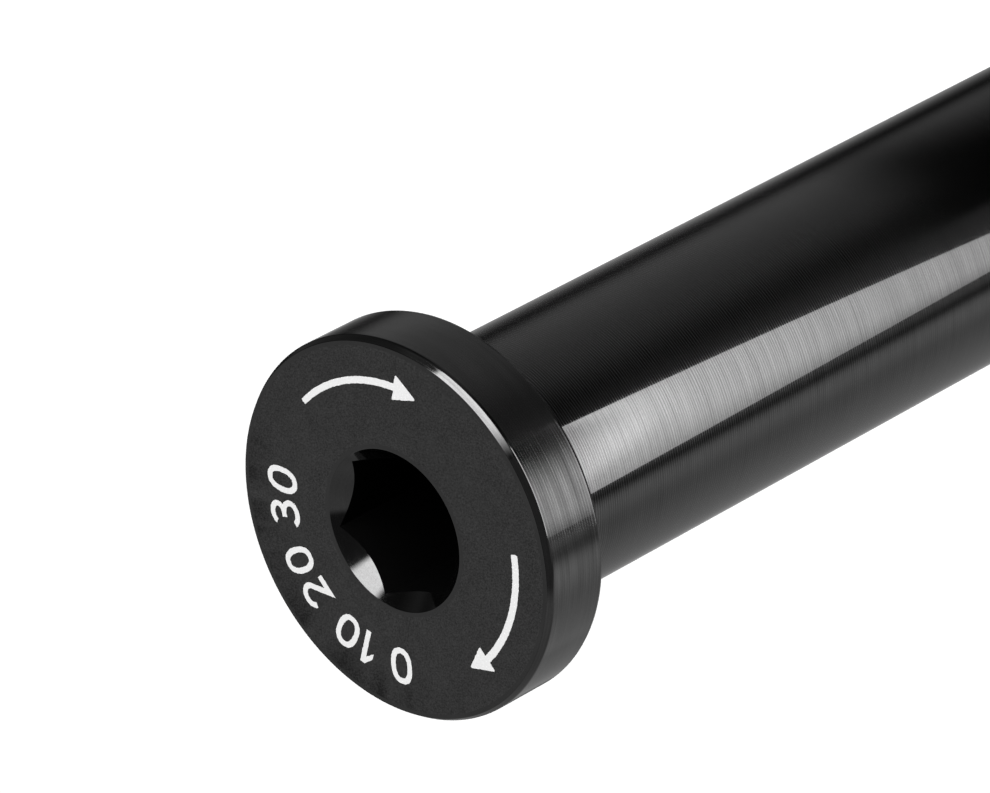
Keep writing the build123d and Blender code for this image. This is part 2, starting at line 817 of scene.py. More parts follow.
    def glyph_span(self, digit: str) -> float:
        """Width of one digit."""
        return self.one_width if digit == "1" else self.glyph_width

    def scale_loops(self) -> list[list[np.ndarray]]:
        """Digits along an arc, read clockwise with their tops outwards.

        A digit whose middle is at angle a has its own right-hand side along (sin a, -cos a) and its
        top along (cos a, sin a).

        Returns:
            For each digit, its loops on the face.
        """
        placed, reach = [], 0.0
        for group in self.groups:
            for digit in group:
                span = self.glyph_span(digit)
                placed.append((digit, reach + span / 2))
                reach += span + self.glyph_gap
            reach += self.group_gap - self.glyph_gap
        middle = (reach - self.group_gap) / 2
        shapes = []
        for digit, place in placed:
            angle = math.radians(self.scale_middle) - (place - middle) / self.scale_radius
            out = np.array([math.cos(angle), math.sin(angle)])
            right = np.array([out[1], -out[0]])
            loops = self.glyph(digit)
            shapes.append([out * self.scale_radius + loop @ np.array([right, out]) for loop in loops])
        return shapes

    @staticmethod
    def polar(angle: float | np.ndarray, radius: float | np.ndarray) -> np.ndarray:
        """Points of the face at some angles in degrees and distances from its middle."""
        turn = np.radians(angle)
        return np.stack([np.cos(turn) * radius, np.sin(turn) * radius], axis=-1)

    def arrow_loop(self, arrow: Arrow) -> np.ndarray:
        """Outline of an arrow that runs clockwise, with a bulging tail and a straight-sided head.

        The shaft's two edges lie half its width outside and inside its middle, whose angle, radius
        and width change evenly from tail to base. The tail is part of an ellipse.

        Args:
            arrow: the arrow's places on the face.

        Returns:
            (n, 2) points.
        """
        turn = np.linspace(arrow.tail, arrow.base, self.shaft_points)
        middle = np.linspace(arrow.tail_radius, arrow.base_radius, self.shaft_points)
        half = np.linspace(arrow.tail_width, arrow.base_width, self.shaft_points) / 2
        outer, inner = self.polar(turn, middle + half), self.polar(turn, middle - half)
        reach = self.head_width / 2
        corners = self.polar(
            np.array([arrow.base - arrow.slant, arrow.tip, arrow.base + arrow.slant]),
            np.array([arrow.base_radius + reach, arrow.tip_radius, arrow.base_radius - reach]),
        )
        head = np.concatenate([outer[-1:], corners, inner[-1:]])
        head = rounded_profile(head, np.array([0, *[self.head_corner] * 3, 0]), hold=0)
        out, back = self.polar(arrow.tail, 1.0), self.polar(arrow.tail + 90, self.tail_bulge)
        around = np.radians(np.linspace(-self.tail_reach, self.tail_reach, self.tail_points))[:, None]
        tail = out * middle[0] + half[0] * (back * np.cos(around) - out * np.sin(around))
        return np.concatenate([outer, head[1:-1], inner[::-1], tail[::-1]])

    def slab(self, loops: list[np.ndarray]) -> tuple[np.ndarray, np.ndarray]:
        """One closed plate between its outline on the face and the same outline below it.

        The outline is cut into triangles for the top and, turned over, for the bottom. Each of its
        sides has two triangles in the wall.

        Args:
            loops: the outer outline first and then its holes.

        Returns:
            (2 n, 3) points, the lower ones first, and (m, 3) triangles.
        """
        rings = [self.uneven(loop) for loop in loops]
        signs = [1] + [-1] * (len(rings) - 1)
        rings = [
            ring if self.signed_area(ring) * sign > 0 else ring[::-1]
            for ring, sign in zip(rings, signs)
        ]
        flat = np.concatenate(rings)
        total = len(flat)
        cells = np.array(tessellate_polygon([[Vector((x, y, 0)) for x, y in ring] for ring in rings]))
        corners = flat[cells]
        first, second = corners[:, 1] - corners[:, 0], corners[:, 2] - corners[:, 0]
        turned = first[:, 0] * second[:, 1] < first[:, 1] * second[:, 0]
        cells[turned] = cells[turned][:, ::-1]
        here = np.arange(total)
        sizes = np.array([len(ring) for ring in rings])
        next_one = np.concatenate([np.roll(own, -1) for own in np.split(here, np.cumsum(sizes)[:-1])])
        walls = [
            np.stack([here, next_one, next_one + total], 1),
            np.stack([here, next_one + total, here + total], 1),
        ]
        low = np.column_stack([flat, np.full(total, self.sizes.face_z - self.thickness)])
        high = np.column_stack([flat, np.full(total, self.sizes.face_z)])
        return np.concatenate([low, high]), np.concatenate([cells + total, cells[:, ::-1], *walls])

    def plate(
        self, name: str, shapes: list[list[np.ndarray]], material: bpy.types.Material
    ) -> bpy.types.Object:
        """Makes one piece of thin closed plates.

        Args:
            name: the new object's name.
            shapes: for each plate its loops, the outer one first and then its holes.
            material: the marks' material.

        Returns:
            The object that holds the plates.
        """
        points, faces, count = [], [], 0
        for loops in shapes:
            corners, triangles = self.slab(loops)
            points.append(corners)
            faces.append(triangles + count)
            count += len(corners)
        return linked_mesh(name, np.concatenate(points), np.concatenate(faces), [material])

    def build(self, material: bpy.types.Material) -> list[bpy.types.Object]:
        """Makes both direction arrows and the number scale.

        Args:
            material: the marks' material.

        Returns:
            The three pieces.
        """
        arrows = [self.plate(arrow.name, [[self.arrow_loop(arrow)]], material) for arrow in self.arrows]
        return [*arrows, self.plate("number_scale", self.scale_loops(), material)]


class Across(Enum):
    """What changes from one turning line to the next."""

    HEIGHT = "height"
    RADIUS = "radius"


class Wiring:
    """The node tree of a material or world, with short ways to add and join nodes."""

    noise_roughness: float = 0.6

    def __init__(self, owner: bpy.types.Material | bpy.types.World) -> None:
        """Clears a node tree.

        Args:
            owner: the material or world that it belongs to.
        """
        owner.use_nodes = True
        self.owner = owner
        self.tree = owner.node_tree
        self.tree.nodes.clear()

    @classmethod
    def material(cls, name: str) -> "Wiring":
        """Starts a new material of that name."""
        return cls(bpy.data.materials.new(name))

    def node(self, kind: str, settings: dict | None = None, inputs: dict | None = None) -> bpy.types.Node:
        """Adds a node.

        Args:
            kind: the node's type, without its ShaderNode prefix.
            settings: properties to set on it.
            inputs: values or sockets for its inputs, by name or index.

        Returns:
            The new node.
        """
        made = self.tree.nodes.new("ShaderNode" + kind)
        for key, value in (settings or {}).items():
            setattr(made, key, value)
        for key, value in (inputs or {}).items():
            if isinstance(value, bpy.types.NodeSocket):
                self.tree.links.new(value, made.inputs[key])
            else:
                made.inputs[key].default_value = value
        return made

    def maths(self, operation: str, *values: float | bpy.types.NodeSocket) -> bpy.types.NodeSocket:
        """Adds a Math node of that operation and gives its output."""
        return self.node("Math", {"operation": operation}, dict(enumerate(values))).outputs[0]

    def noise(self, place: bpy.types.NodeSocket, scale: float, detail: float) -> bpy.types.NodeSocket:
        """Adds a Noise Texture over a place and gives its value."""
        inputs = {"Vector": place, "Scale": scale, "Detail": detail, "Roughness": self.noise_roughness}
        return self.node("TexNoise", inputs=inputs).outputs[0]

    def swing(self, noise: bpy.types.NodeSocket, amount: float) -> bpy.types.NodeSocket:
        """Stretches a noise about its middle to run between minus and plus an amount."""
        return self.maths("MULTIPLY_ADD", noise, 2 * amount, -amount)

    def smooth(self, value: bpy.types.NodeSocket, low: float, high: float) -> bpy.types.NodeSocket:
        """Adds a smooth step that rises from 0 to 1 between two values."""
        inputs = {"Value": value, "From Min": low, "From Max": high}
        return self.node("MapRange", {"interpolation_type": "SMOOTHSTEP"}, inputs).outputs[0]

    def grey(self, level: bpy.types.NodeSocket) -> bpy.types.NodeSocket:
        """Adds a grey colour of that level."""
        return self.node("CombineColor", inputs={0: level, 1: level, 2: level}).outputs[0]

    def vector(self, operation: str, *values: tuple | bpy.types.NodeSocket) -> bpy.types.NodeSocket:
        """Adds a Vector Math node of that operation and gives its vector."""
        return self.node("VectorMath", {"operation": operation}, dict(enumerate(values))).outputs["Vector"]

    def measure(self, operation: str, *values: tuple | bpy.types.NodeSocket) -> bpy.types.NodeSocket:
        """Adds a Vector Math node of that operation and gives its number."""
        return self.node("VectorMath", {"operation": operation}, dict(enumerate(values))).outputs["Value"]

    def seen(self) -> bpy.types.NodeSocket:
        """Adds a value that is 1 for the camera, reflections and views through glass, and else 0.

        Returns:
            The value.
        """
        rays = self.node("LightPath").outputs
        seen = self.maths("MAXIMUM", rays["Is Camera Ray"], rays["Is Glossy Ray"])
        return self.maths("MAXIMUM", seen, rays["Is Transmission Ray"])

    def shade(
        self, surface: bpy.types.NodeSocket, output: str = "OutputMaterial"
    ) -> bpy.types.Material | bpy.types.World:
        """Joins a shader to a new output and gives the material or world."""
        self.node(output, inputs={"Surface": surface})
        return self.owner


@dataclass(frozen=True)
class TurnedFinish:
    """Black anodised aluminium with the fine lines that a lathe leaves.

    The feed lines are a sine of the distance across them, whose phase drifts a little. Lines is a
    noise whose first coordinate is that distance in feeds, and whose other two are x and y in line
    lengths, so some lines are stronger over part of their way. Bands is the same over many feeds.
    All scale the gloss, and a fine grain breaks it up. Below the heights where it fades, the sine
    keeps only its far share of contrast.

    The tops of the lines, the crests, are rougher than the rest, so they take some light from
    beside a bright reflection, whose edge stays crisp between them. They are also painted paler, a
    painted sheen for the light they catch, which grows from where the painted sheen starts to where it is
    full, so the shank is painted darker towards its tip.

    The tangent at a point is (-y, x, 0), along the lines, and the gloss spreads across them.
    """

    name: str
    across: Across
    base: float = 0.0008
    crest_painted_sheen: float = 0.0255
    crest_start: float = 0.35
    painted_sheen_start: float = 84 * MM
    painted_sheen_full: float = 100 * MM
    ior: float = 1.5
    specular: float = 0.5
    roughness: float = 0.03
    crest_roughness: float = 0.078
    anisotropy: float = 0.3
    quarter_turn: float = 0.25
    feed: float = 0.142 * MM
    feed_contrast: float = 0.29
    far_share: float = 0.35
    fade_start: float = 91 * MM
    fade_full: float = 103 * MM
    line_contrast: float = 0.4
    line_length: float = 4.0 * MM
    band_feeds: float = 8.0
    band_contrast: float = 0.07
    drift: float = 1.2
    grain: float = 0.2
    grain_size: float = 0.07 * MM

    def distance(self, wiring: Wiring, split: bpy.types.NodeOutputs) -> bpy.types.NodeSocket:
        """Distance across the lines: the height, or the distance from the axle's line.

        Args:
            wiring: the material's wiring.
            split: x, y and z of the point.

        Returns:
            The distance in metres.
        """
        if self.across is Across.HEIGHT:
            return split[2]
        flat = wiring.node("CombineXYZ", inputs={0: split[0], 1: split[1]})
        return wiring.measure("LENGTH", flat.outputs[0])

    def make(self) -> bpy.types.Material:
        """Makes the material.

        Returns:
            The new material.
        """
        wiring = Wiring.material(self.name)
        place = wiring.node("TexCoord").outputs["Object"]
        split = wiring.node("SeparateXYZ", inputs={0: place}).outputs
        height = split[2]
        feeds = wiring.maths("DIVIDE", self.distance(wiring, split), self.feed)
        slow = {i + 1: wiring.maths("DIVIDE", split[i], self.line_length) for i in (0, 1)}
        fine = wiring.node("CombineXYZ", inputs={0: feeds, **slow}).outputs[0]
        lines = wiring.noise(fine, scale=1.0, detail=2.0)
        many_feeds = wiring.maths("DIVIDE", feeds, self.band_feeds)
        wide = wiring.node("CombineXYZ", inputs={0: many_feeds, **slow}).outputs[0]
        bands = wiring.noise(wide, scale=1.0, detail=1.0)
        grain = wiring.noise(place, 1 / self.grain_size, detail=1.0)

        drifted = wiring.maths("MULTIPLY_ADD", bands, self.drift, feeds)
        wave = wiring.maths("SINE", wiring.maths("MULTIPLY", drifted, TURN))
        near = wiring.smooth(height, self.fade_start, self.fade_full)
        share = wiring.maths("MULTIPLY_ADD", near, 1 - self.far_share, self.far_share)
        gloss = wiring.maths("MULTIPLY_ADD", wiring.maths("MULTIPLY", wave, share), self.feed_contrast, 1.0)
        swings = ((lines, self.line_contrast), (bands, self.band_contrast), (grain, self.grain))
        for noise, contrast in swings:
            gloss = wiring.maths("ADD", gloss, wiring.swing(noise, contrast))

        crest = wiring.smooth(wave, self.crest_start, 1.0)
        # Painted sheen: the crests' paler base colour stands in for light they catch, and it fades away
        # towards the tip as painted shade.
        painted_crest_sheen = wiring.maths("MULTIPLY", crest, wiring.smooth(height, self.painted_sheen_start, self.painted_sheen_full))
        base_with_painted_sheen = wiring.maths("MULTIPLY_ADD", painted_crest_sheen, self.crest_painted_sheen, self.base)
        rough = wiring.maths("MULTIPLY", crest, wiring.maths("MULTIPLY", lines, 2 * self.crest_roughness))
        shader = wiring.node(
            "BsdfPrincipled",
            inputs={
                "Base Color": wiring.grey(base_with_painted_sheen),
                "IOR": self.ior,
                "Specular IOR Level": self.specular,
                "Roughness": wiring.maths("ADD", rough, self.roughness),
                "Anisotropic": self.anisotropy,
                "Anisotropic Rotation": self.quarter_turn,
                "Tangent": wiring.vector("NORMALIZE", wiring.vector("CROSS_PRODUCT", (0, 0, 1), place)),
                "Specular Tint": wiring.grey(wiring.maths("MAXIMUM", gloss, LEAST_GLOSS)),
            },
        )
        return wiring.shade(shader.outputs[0])


@dataclass(frozen=True)
class FaceFinish:
    """Black anodised face: flat and faintly grained, with soft darker radial streaks that run in from its
    edge.

    The streaks are a noise over the unit vector from the axle's line to the point, so they run
    straight out. They grow from the streak start to the edge, on the side that they face.
    """

    name: str = "anodised_face"
    base: float = 0.003
    ior: float = 1.5
    roughness: float = 0.18
    grain: float = 1.2
    grain_size: float = 0.075 * MM
    mottle: float = 0.25
    mottle_size: float = 1.1 * MM
    dark_streak: float = 1.6
    dark_streak_depth: float = 0.38
    dark_streak_count: float = 7.0
    dark_streak_start: float = 6.3 * MM
    dark_streak_end: float = 8.6 * MM
    dark_streak_side: tuple[float, float, float] = (-0.87, -0.5, 0.0)
    dark_streak_facing: tuple[float, float] = (0.2, 0.8)

    def make(self) -> bpy.types.Material:
        """Makes the material.

        Returns:
            The new material.
        """
        wiring = Wiring.material(self.name)
        place = wiring.node("TexCoord").outputs["Object"]
        split = wiring.node("SeparateXYZ", inputs={0: place}).outputs
        flat = wiring.node("CombineXYZ", inputs={0: split[0], 1: split[1]}).outputs[0]
        out = wiring.vector("NORMALIZE", flat)
        grain = wiring.noise(place, 1 / self.grain_size, detail=1.0)
        mottle = wiring.noise(place, 1 / self.mottle_size, detail=2.0)
        dark_streak = wiring.noise(out, self.dark_streak_count, detail=2.0)
        outer = wiring.smooth(wiring.measure("LENGTH", flat), self.dark_streak_start, self.dark_streak_end)
        facing = wiring.smooth(wiring.measure("DOT_PRODUCT", out, self.dark_streak_side), *self.dark_streak_facing)
        gloss = wiring.maths("ADD", 1.0, wiring.swing(grain, self.grain))
        gloss = wiring.maths("ADD", gloss, wiring.swing(mottle, self.mottle))
        # Darker radial streaks: less gloss near the edge, on the side that they face.
        dull = wiring.maths("SUBTRACT", wiring.swing(dark_streak, self.dark_streak), self.dark_streak_depth)
        reach = wiring.maths("MULTIPLY", outer, facing)
        gloss = wiring.maths("ADD", gloss, wiring.maths("MULTIPLY", reach, dull))
        shader = wiring.node(
            "BsdfPrincipled",
            inputs={
                "Base Color": (self.base, self.base, self.base, 1),
                "IOR": self.ior,
                "Roughness": self.roughness,
                "Specular Tint": wiring.grey(wiring.maths("MAXIMUM", gloss, LEAST_GLOSS)),
            },
        )
        return wiring.shade(shader.outputs[0])


@dataclass(frozen=True)
class LaserMarkFinish:
    """Anodising bleached by a laser: chalky and nearly white, with a fine mottle."""

    name: str = "laser_mark"
    dark: float = 0.84
    dark_below: float = 0.35
    light: float = 0.92
    light_above: float = 0.6
    mottle_size: float = 0.07 * MM
    roughness: float = 0.6
    specular: float = 0.3

    def make(self) -> bpy.types.Material:
        """Makes the material.

        Returns:
            The new material.
        """
        wiring = Wiring.material(self.name)
        place = wiring.node("TexCoord").outputs["Object"]
        noise = wiring.noise(place, 1 / self.mottle_size, detail=3.0)
        tones = wiring.node("ValToRGB", inputs={0: noise})
        stops = ((self.dark_below, self.dark), (self.light_above, self.light))
        for stop, (position, level) in zip(tones.color_ramp.elements, stops):
            stop.position = position
            stop.color = (level, level, level, 1)
        shader = wiring.node(
            "BsdfPrincipled",
            inputs={
                "Base Color": tones.outputs[0],
                "Roughness": self.roughness,
                "Specular IOR Level": self.specular,
            },
        )
        return wiring.shade(shader.outputs[0])


@dataclass(frozen=True)
class Glow:
    """Light given off by a studio surface, whose strength is an attribute of its points."""

    name: str
    attribute: str = "glow"

    def make(self) -> bpy.types.Material:
        """Makes the material.

        Returns:
            The new material.
        """
        wiring = Wiring.material(self.name)
        strength = wiring.node("Attribute", {"attribute_name": self.attribute}).outputs["Fac"]
        return wiring.shade(wiring.node("Emission", inputs={"Strength": strength}).outputs[0])


@dataclass(frozen=True)
class FloorFinish:
    """Matt white floor that looks white to the camera and still takes the object's shadow."""

    albedo: float = 0.75
    lift: float = 0.5

    def make(self) -> bpy.types.Material:
        """Makes the material.

        Returns:
            The new material.
        """
        wiring = Wiring.material("studio_floor")
        strength = wiring.maths("MULTIPLY", wiring.seen(), self.lift)
        lift = wiring.node("Emission", inputs={"Strength": strength})
        matt = wiring.node("BsdfDiffuse", inputs={"Color": (self.albedo, self.albedo, self.albedo, 1)})
        both = wiring.node("AddShader", inputs={0: matt.outputs[0], 1: lift.outputs[0]})
        return wiring.shade(both.outputs[0])


@dataclass(frozen=True)
class Lobe:
    """A soft patch on the reflection wall: its direction and spread in degrees, and its light."""

    azimuth: float
    spread: float
    amount: float

    def at(self, azimuth: np.ndarray) -> np.ndarray:
        """Light that the patch adds at some azimuths, by a bell curve."""
        away = (azimuth - self.azimuth + 180) % 360 - 180
        return self.amount * np.exp(-0.5 * (away / self.spread) ** 2)


def direction(azimuth: float, elevation: float) -> Vector:
    """Unit vector towards an azimuth and an elevation, both in degrees."""
    turn, rise = math.radians(azimuth), math.radians(elevation)
    return Vector((math.cos(turn) * math.cos(rise), math.sin(turn) * math.cos(rise), math.sin(rise)))


@dataclass(frozen=True)
class Step:
    """A smooth step from 0 at low to 1 at high."""

    low: float
    high: float

    def at(self, value: np.ndarray) -> np.ndarray:
        """Values of the step."""
        return smooth_step((value - self.low) / (self.high - self.low))


@dataclass(frozen=True)
class Track:
    """A value that changes with height, by straight lines between (height in mm, value) pairs."""

    pairs: tuple[tuple[float, float], ...]

    def at(self, height: np.ndarray) -> np.ndarray:
        """Values at some heights, given in metres."""
        places, values = np.array(self.pairs).T
        return np.interp(height, places * MM, values)


@dataclass(frozen=True)
class StripLight:
    """The tall light whose reflections are the stripe down the shank and the patch on the rim.

    It lies on an upright plane that faces the axle, between two edges that change with height and
    are given in millimetres to the side of the plane's middle. A curved border across it parts what
    the shank reflects, below, from what the rim reflects, above. The border's height is its top
    less its slope times the level distance to a point in front of the plane's middle, which lies
    the border's reach away from it.
    """

    facing: float = 10.0
    away: float = 60 * MM
    low: float = 15 * MM
    high: float = 108 * MM
    left: Track = Track(((15, -34.6), (56.5, -46.9), (63.3, -36.3), (80, -36.5), (86, -30), (108, -29)))
    right: Track = Track(((15, -18.7), (67.5, 25.1), (70, 21.5), (108, 21.5)))
    level: Track = Track(((30, 5.0), (44, 6.5), (58, 8.0), (66, 7.5), (75, 7.0), (83, 7.0), (86, 10.0)))
    swell_height: float = 64.5 * MM
    swell_spread: float = 2.6 * MM
    swell: float = 4.0
    left_share: float = 0.66
    left_part: Step = Step(0, 0.5)
    right_loss: float = 0.7
    right_part: Step = Step(0.5, 1.0)
    right_height: Step = Step(62 * MM, 68 * MM)
    border_top: float = 120.2 * MM
    border_slope: float = 0.9
    border_reach: float = 52.8 * MM
    border_blur: Step = Step(-1 * MM, 1 * MM)
    rim_level: float = 4.3
    rim_left_share: float = 0.3
    rim_left: Step = Step(-40 * MM, -22 * MM)
    rim_right: Step = Step(-12 * MM, 16 * MM)
    corner_height: Step = Step(83 * MM, 86 * MM)
    rows: int = 280
    columns: int = 49

    def surface(self) -> tuple[np.ndarray, np.ndarray]:
        """Sets out the light.

        Returns:
            (rows, columns, 3) points and (rows, columns) strengths.
        """
        azimuth = math.radians(self.facing)
        facing = np.array([math.cos(azimuth), math.sin(azimuth), 0])
        side = np.array([-math.sin(azimuth), math.cos(azimuth), 0])
        height = np.linspace(self.low, self.high, self.rows)[:, None]
        left, right = self.left.at(height) * MM, self.right.at(height) * MM
        share = np.linspace(0, 1, self.columns)
        across = left + share * (right - left)
        height, across = np.broadcast_arrays(height, across)
        grid = facing * self.away + across[..., None] * side + height[..., None] * np.array([0, 0, 1])
        glow = self.level.at(height)
        swell = self.swell * np.exp(-0.5 * ((height - self.swell_height) / self.swell_spread) ** 2)
        shank_glow = (glow + swell) * (self.left_share + (1 - self.left_share) * self.left_part.at(share))
        shank_glow *= 1 - self.right_loss * self.right_part.at(share) * self.right_height.at(height)
        rise = self.rim_left_share + (1 - self.rim_left_share) * self.rim_left.at(across)
        corner = self.corner_height.at(height)
        rim_glow = self.rim_level * (1 - self.rim_right.at(across)) * rise * (1 - corner) + glow * corner
        border = self.border_top - self.border_slope * np.hypot(self.border_reach, across)
        rim = self.border_blur.at(height - border)
        return grid, shank_glow * (1 - rim) + rim_glow * rim


@dataclass(frozen=True)
class KeyCard:
    """The soft box that lights the bevel and one flank of the countersink.

    It stands on a cylinder round the axle, between two sides that shift round it with height. Its
    light rises smoothly from the first side, and falls off before the second.
    """

    away: float = 80 * MM
    low: float = 128 * MM
    high: float = 235 * MM
    start: Track = Track(((128, 25), (155, 25), (200, 36), (235, 36)))
    rise: Track = Track(((128, 22), (155, 22), (200, 13), (235, 13)))
    end: Track = Track(((128, 78.5), (138, 80.5), (180, 97), (235, 107)))
    strength: float = 15.8
    fade: Track = Track(((128, 3), (150, 3), (180, 14), (235, 14)))
    rows: int = 60
    columns: int = 60

    def surface(self) -> tuple[np.ndarray, np.ndarray]:
        """Sets out the light.

        Returns:
            (rows, columns, 3) points and (rows, columns) strengths.
        """
        height = np.linspace(self.low, self.high, self.rows)[:, None]
        start, end = self.start.at(height), self.end.at(height)
        azimuth = start + np.linspace(0, 1, self.columns) * (end - start)
        turn = np.radians(azimuth)
        height = np.broadcast_to(height, turn.shape)
        grid = np.stack([self.away * np.cos(turn), self.away * np.sin(turn), height], axis=-1)
        rise = smooth_step((azimuth - start) / self.rise.at(height))
        fall = smooth_step((azimuth - end) / self.fade.at(height) + 1)
        return grid, self.strength * rise * (1 - fall)


@dataclass(frozen=True)
class ReflectionWall:
    """The wall round the object, whose light fills the reflections beside the two shaped lights.

    Its points are x = R cos a, y = R sin a, z = h for azimuths a and heights h. Its first row is
    drawn in to the axle, which closes it with a floor that darkens inwards.
    """

    radius: float = 85 * MM
    top: float = 240 * MM
    foot: float = 0.2 * MM
    foot_radius: float = 6.5 * MM
    foot_level: float = 0.03
    rows: int = 241
    columns: int = 720
    least: float = 0.005

    level: float = 0.30
    lobes: tuple[Lobe, ...] = (
        Lobe(-153, 9, 0.12),
        Lobe(-118, 16, -0.06),
        Lobe(-75, 45, 0.22),
        Lobe(-58, 7, -0.1),
        Lobe(-42, 12, 0.5),
        Lobe(45, 15, -0.26),
        Lobe(80, 22, -0.05),
        Lobe(108, 25, 0.06),
        Lobe(147, 10, -0.28),
        Lobe(163, 7, -0.08),
    )
    lean: float = 12.0
    lean_azimuth: Step = Step(90, 120)
    lean_height: Step = Step(44 * MM, 49 * MM)
    gap: Lobe = Lobe(-33.5, 4.0, -0.66)
    gap_above: float = 0.8
    gap_height: Step = Step(44 * MM, 48 * MM)

    shade: float = 0.97
    shade_start: Step = Step(25, 35)
    shade_end: Step = Step(80, 172)
    shade_slant: float = 2.5
    shade_middle: float = 8 * MM
    shade_height: Step = Step(8 * MM, 16 * MM)

    limb: float = 0.82
    limb_start: Step = Step(-165, -155)
    limb_end: Step = Step(-147, -133)
    limb_height: Step = Step(42 * MM, 47 * MM)

    left_share: Track = Track(((45, 1.0), (52, 1.35), (60, 1.35), (75, 1.0)))
    left_start: Step = Step(-100, -90)
    left_end: Step = Step(-28, -20)

    back_level: Track = Track(((60, 0.026), (91, 0.026), (97, 0.125), (122, 0.11)))
    back_start: Step = Step(75, 95)
    back_end: Step = Step(-165, -155)
    back_height: Step = Step(50 * MM, 63 * MM)

    upper_level: float = 0.55
    upper_lobes: tuple[Lobe, ...] = (Lobe(-50, 14, 0.22), Lobe(-114, 7, -0.19))
    upper_height: Step = Step(122 * MM, 130 * MM)
    flag_level: Track = Track(((130, 0.28), (152, 0.28), (170, 0.1), (240, 0.12)))
    flag_start: Step = Step(-49, -39)
    flag_end: Step = Step(165, 178)
    flag_losses: tuple[tuple[float, Step], ...] = ((0.5, Step(95, 108)), (0.6, Step(138, 152)))

    def lower_light(self, azimuth: np.ndarray, height: np.ndarray) -> np.ndarray:
        """Light of the wall below the head's face.

        It is a level plus bell curves in azimuth, which are shifted by the lean beyond its azimuth
        and height, plus a narrow gap that is shallower higher up. The shade near the floor, whose
        end slants by its slant in degrees for each millimetre, and the limb each take a share of
        it. On the left it is scaled by the left share, and the back has a level of its own.

        Args:
            azimuth: degrees.
            height: metres above the floor.

        Returns:
            Emission strengths.
        """
        leant = azimuth - self.lean * self.lean_height.at(height) * self.lean_azimuth.at(azimuth)
        level = self.level + sum(lobe.at(leant) for lobe in self.lobes)
        level += self.gap.at(azimuth) * (1 + (self.gap_above - 1) * self.gap_height.at(height))

        slanted = azimuth - self.shade_slant * (height - self.shade_middle) / MM
        shade = self.shade_start.at(azimuth) * (1 - self.shade_end.at(slanted))
        level *= 1 - self.shade * shade * (1 - self.shade_height.at(height))

        limb = self.limb_start.at(azimuth) * (1 - self.limb_end.at(azimuth))
        level *= 1 - self.limb * limb * self.limb_height.at(height)

        left = self.left_start.at(azimuth) * (1 - self.left_end.at(azimuth))
        level *= 1 - left + left * self.left_share.at(height)

        back = np.maximum(self.back_start.at(azimuth), 1 - self.back_end.at(azimuth))
        back *= self.back_height.at(height)
        return level * (1 - back) + self.back_level.at(height) * back

    def upper_light(self, azimuth: np.ndarray, height: np.ndarray) -> np.ndarray:
        """Light of the wall above the head's face.

        It is a level plus bell curves in azimuth, with a grey flag in front that loses a share of
        its light, and then one more, towards its far end.

        Args:
            azimuth: degrees.
            height: metres above the floor.

        Returns:
            Emission strengths.
        """
        flag_level = self.flag_level.at(height)
        for loss, step in self.flag_losses:
            flag_level = flag_level * (1 - loss * step.at(azimuth))
        flag = self.flag_start.at(azimuth) * (1 - self.flag_end.at(azimuth))
        level = self.upper_level + sum(lobe.at(azimuth) for lobe in self.upper_lobes)
        return level * (1 - flag) + flag_level * flag

    def surface(self) -> tuple[np.ndarray, np.ndarray]:
        """Sets out the wall.

        Returns:
            (rows + 1, columns + 1, 3) points and (rows + 1, columns + 1) strengths.
        """
        turn = np.linspace(-math.pi, math.pi, self.columns + 1)
        height = np.concatenate([[self.foot], np.linspace(self.foot, self.top, self.rows)])
        turn, height = np.meshgrid(turn, height)
        azimuth = np.degrees(turn)
        radius = np.full_like(height, self.radius)
        radius[0] = self.foot_radius
        grid = np.stack([radius * np.cos(turn), radius * np.sin(turn), height], axis=-1)
        upper = self.upper_height.at(height)
        glow = self.lower_light(azimuth, height) * (1 - upper) + self.upper_light(azimuth, height) * upper
        glow = np.maximum(glow, self.least)
        glow[0] = self.foot_level
        return grid, glow


